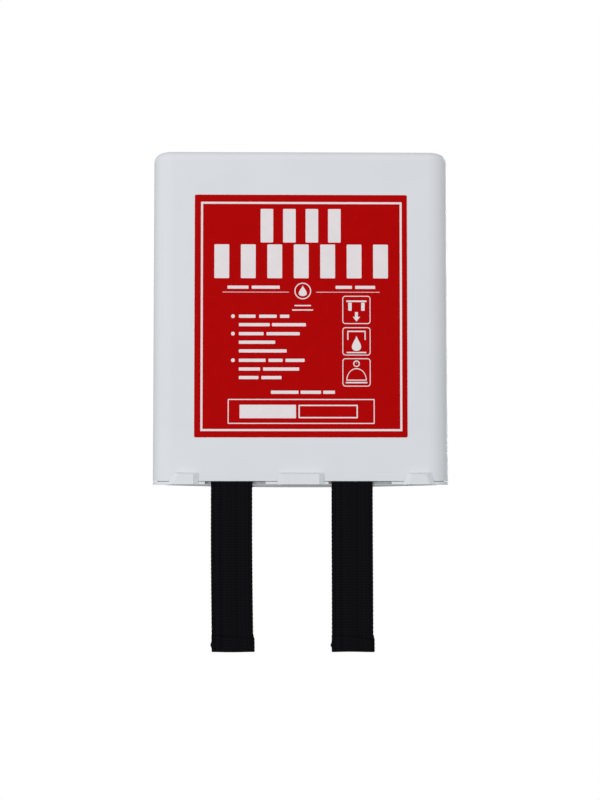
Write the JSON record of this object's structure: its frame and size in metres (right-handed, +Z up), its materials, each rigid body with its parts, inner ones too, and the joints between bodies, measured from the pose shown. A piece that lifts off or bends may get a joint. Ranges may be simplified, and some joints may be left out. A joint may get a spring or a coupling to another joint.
{
  "type": "fire blanket",
  "caption": "Wall-mounted case whose hinged bottom flap drops open as two hanging tabs pull a folded glass-cloth fire blanket out.",
  "frame": {"origin": "centre of the case's wall face, on the rear face of the back plate", "axes": "+Y into the wall, the front face looks towards -Y, +X to the right seen from the front, +Z up"},
  "size_m": [0.1808, 0.043, 0.3044],
  "materials": {
    "case_plastic": "white injection-moulded plastic with a soft gloss",
    "plate_plastic": "white injection-moulded plastic, matt inside face",
    "rod_steel": "bright drawn steel rod",
    "label_vinyl": "red printed vinyl, satin",
    "glass_cloth": "off-white woven glass cloth",
    "webbing": "black woven webbing",
    "thread": "black sewing thread"
  },
  "bodies": {
    "case": {"front_cover": "case_plastic", "back_plate": "plate_plastic", "hinge_rod": "rod_steel", "face_label": "label_vinyl"},
    "flap": {"bottom_flap": "case_plastic"},
    "blanket": {"blanket_pack": "glass_cloth", "tab_anchor_left": "webbing", "tab_anchor_right": "webbing", "anchor_stitching_left": "thread", "anchor_stitching_right": "thread"},
    "left_tab": {"pull_tab_left": "webbing", "hem_stitching_left": "thread"},
    "right_tab": {"pull_tab_right": "webbing", "hem_stitching_right": "thread"}
  },
  "joints": [
    {"name": "blanket_pull", "type": "slide", "parent": "case", "child": "blanket", "axis": [0, 0, -1], "range_m": [0, 0.044]},
    {"name": "flap_hinge", "type": "hinge", "parent": "case", "child": "flap", "pos_m": [0, -0.004, -0.1018], "axis": [1, 0, 0], "range_deg": [0, 90]},
    {"name": "left_tab_swing", "type": "hinge", "parent": "blanket", "child": "left_tab", "pos_m": [-0.0419, -0.041, -0.10197], "axis": [-1, 0, 0], "range_deg": [0, 90]},
    {"name": "right_tab_swing", "type": "hinge", "parent": "blanket", "child": "right_tab", "pos_m": [0.0309, -0.041, -0.10197], "axis": [-1, 0, 0], "range_deg": [0, 90]}
  ],
  "couplings": [
    {"joint": "flap_hinge", "follows": "blanket_pull", "rad_per_m": 35.6}
  ]
}
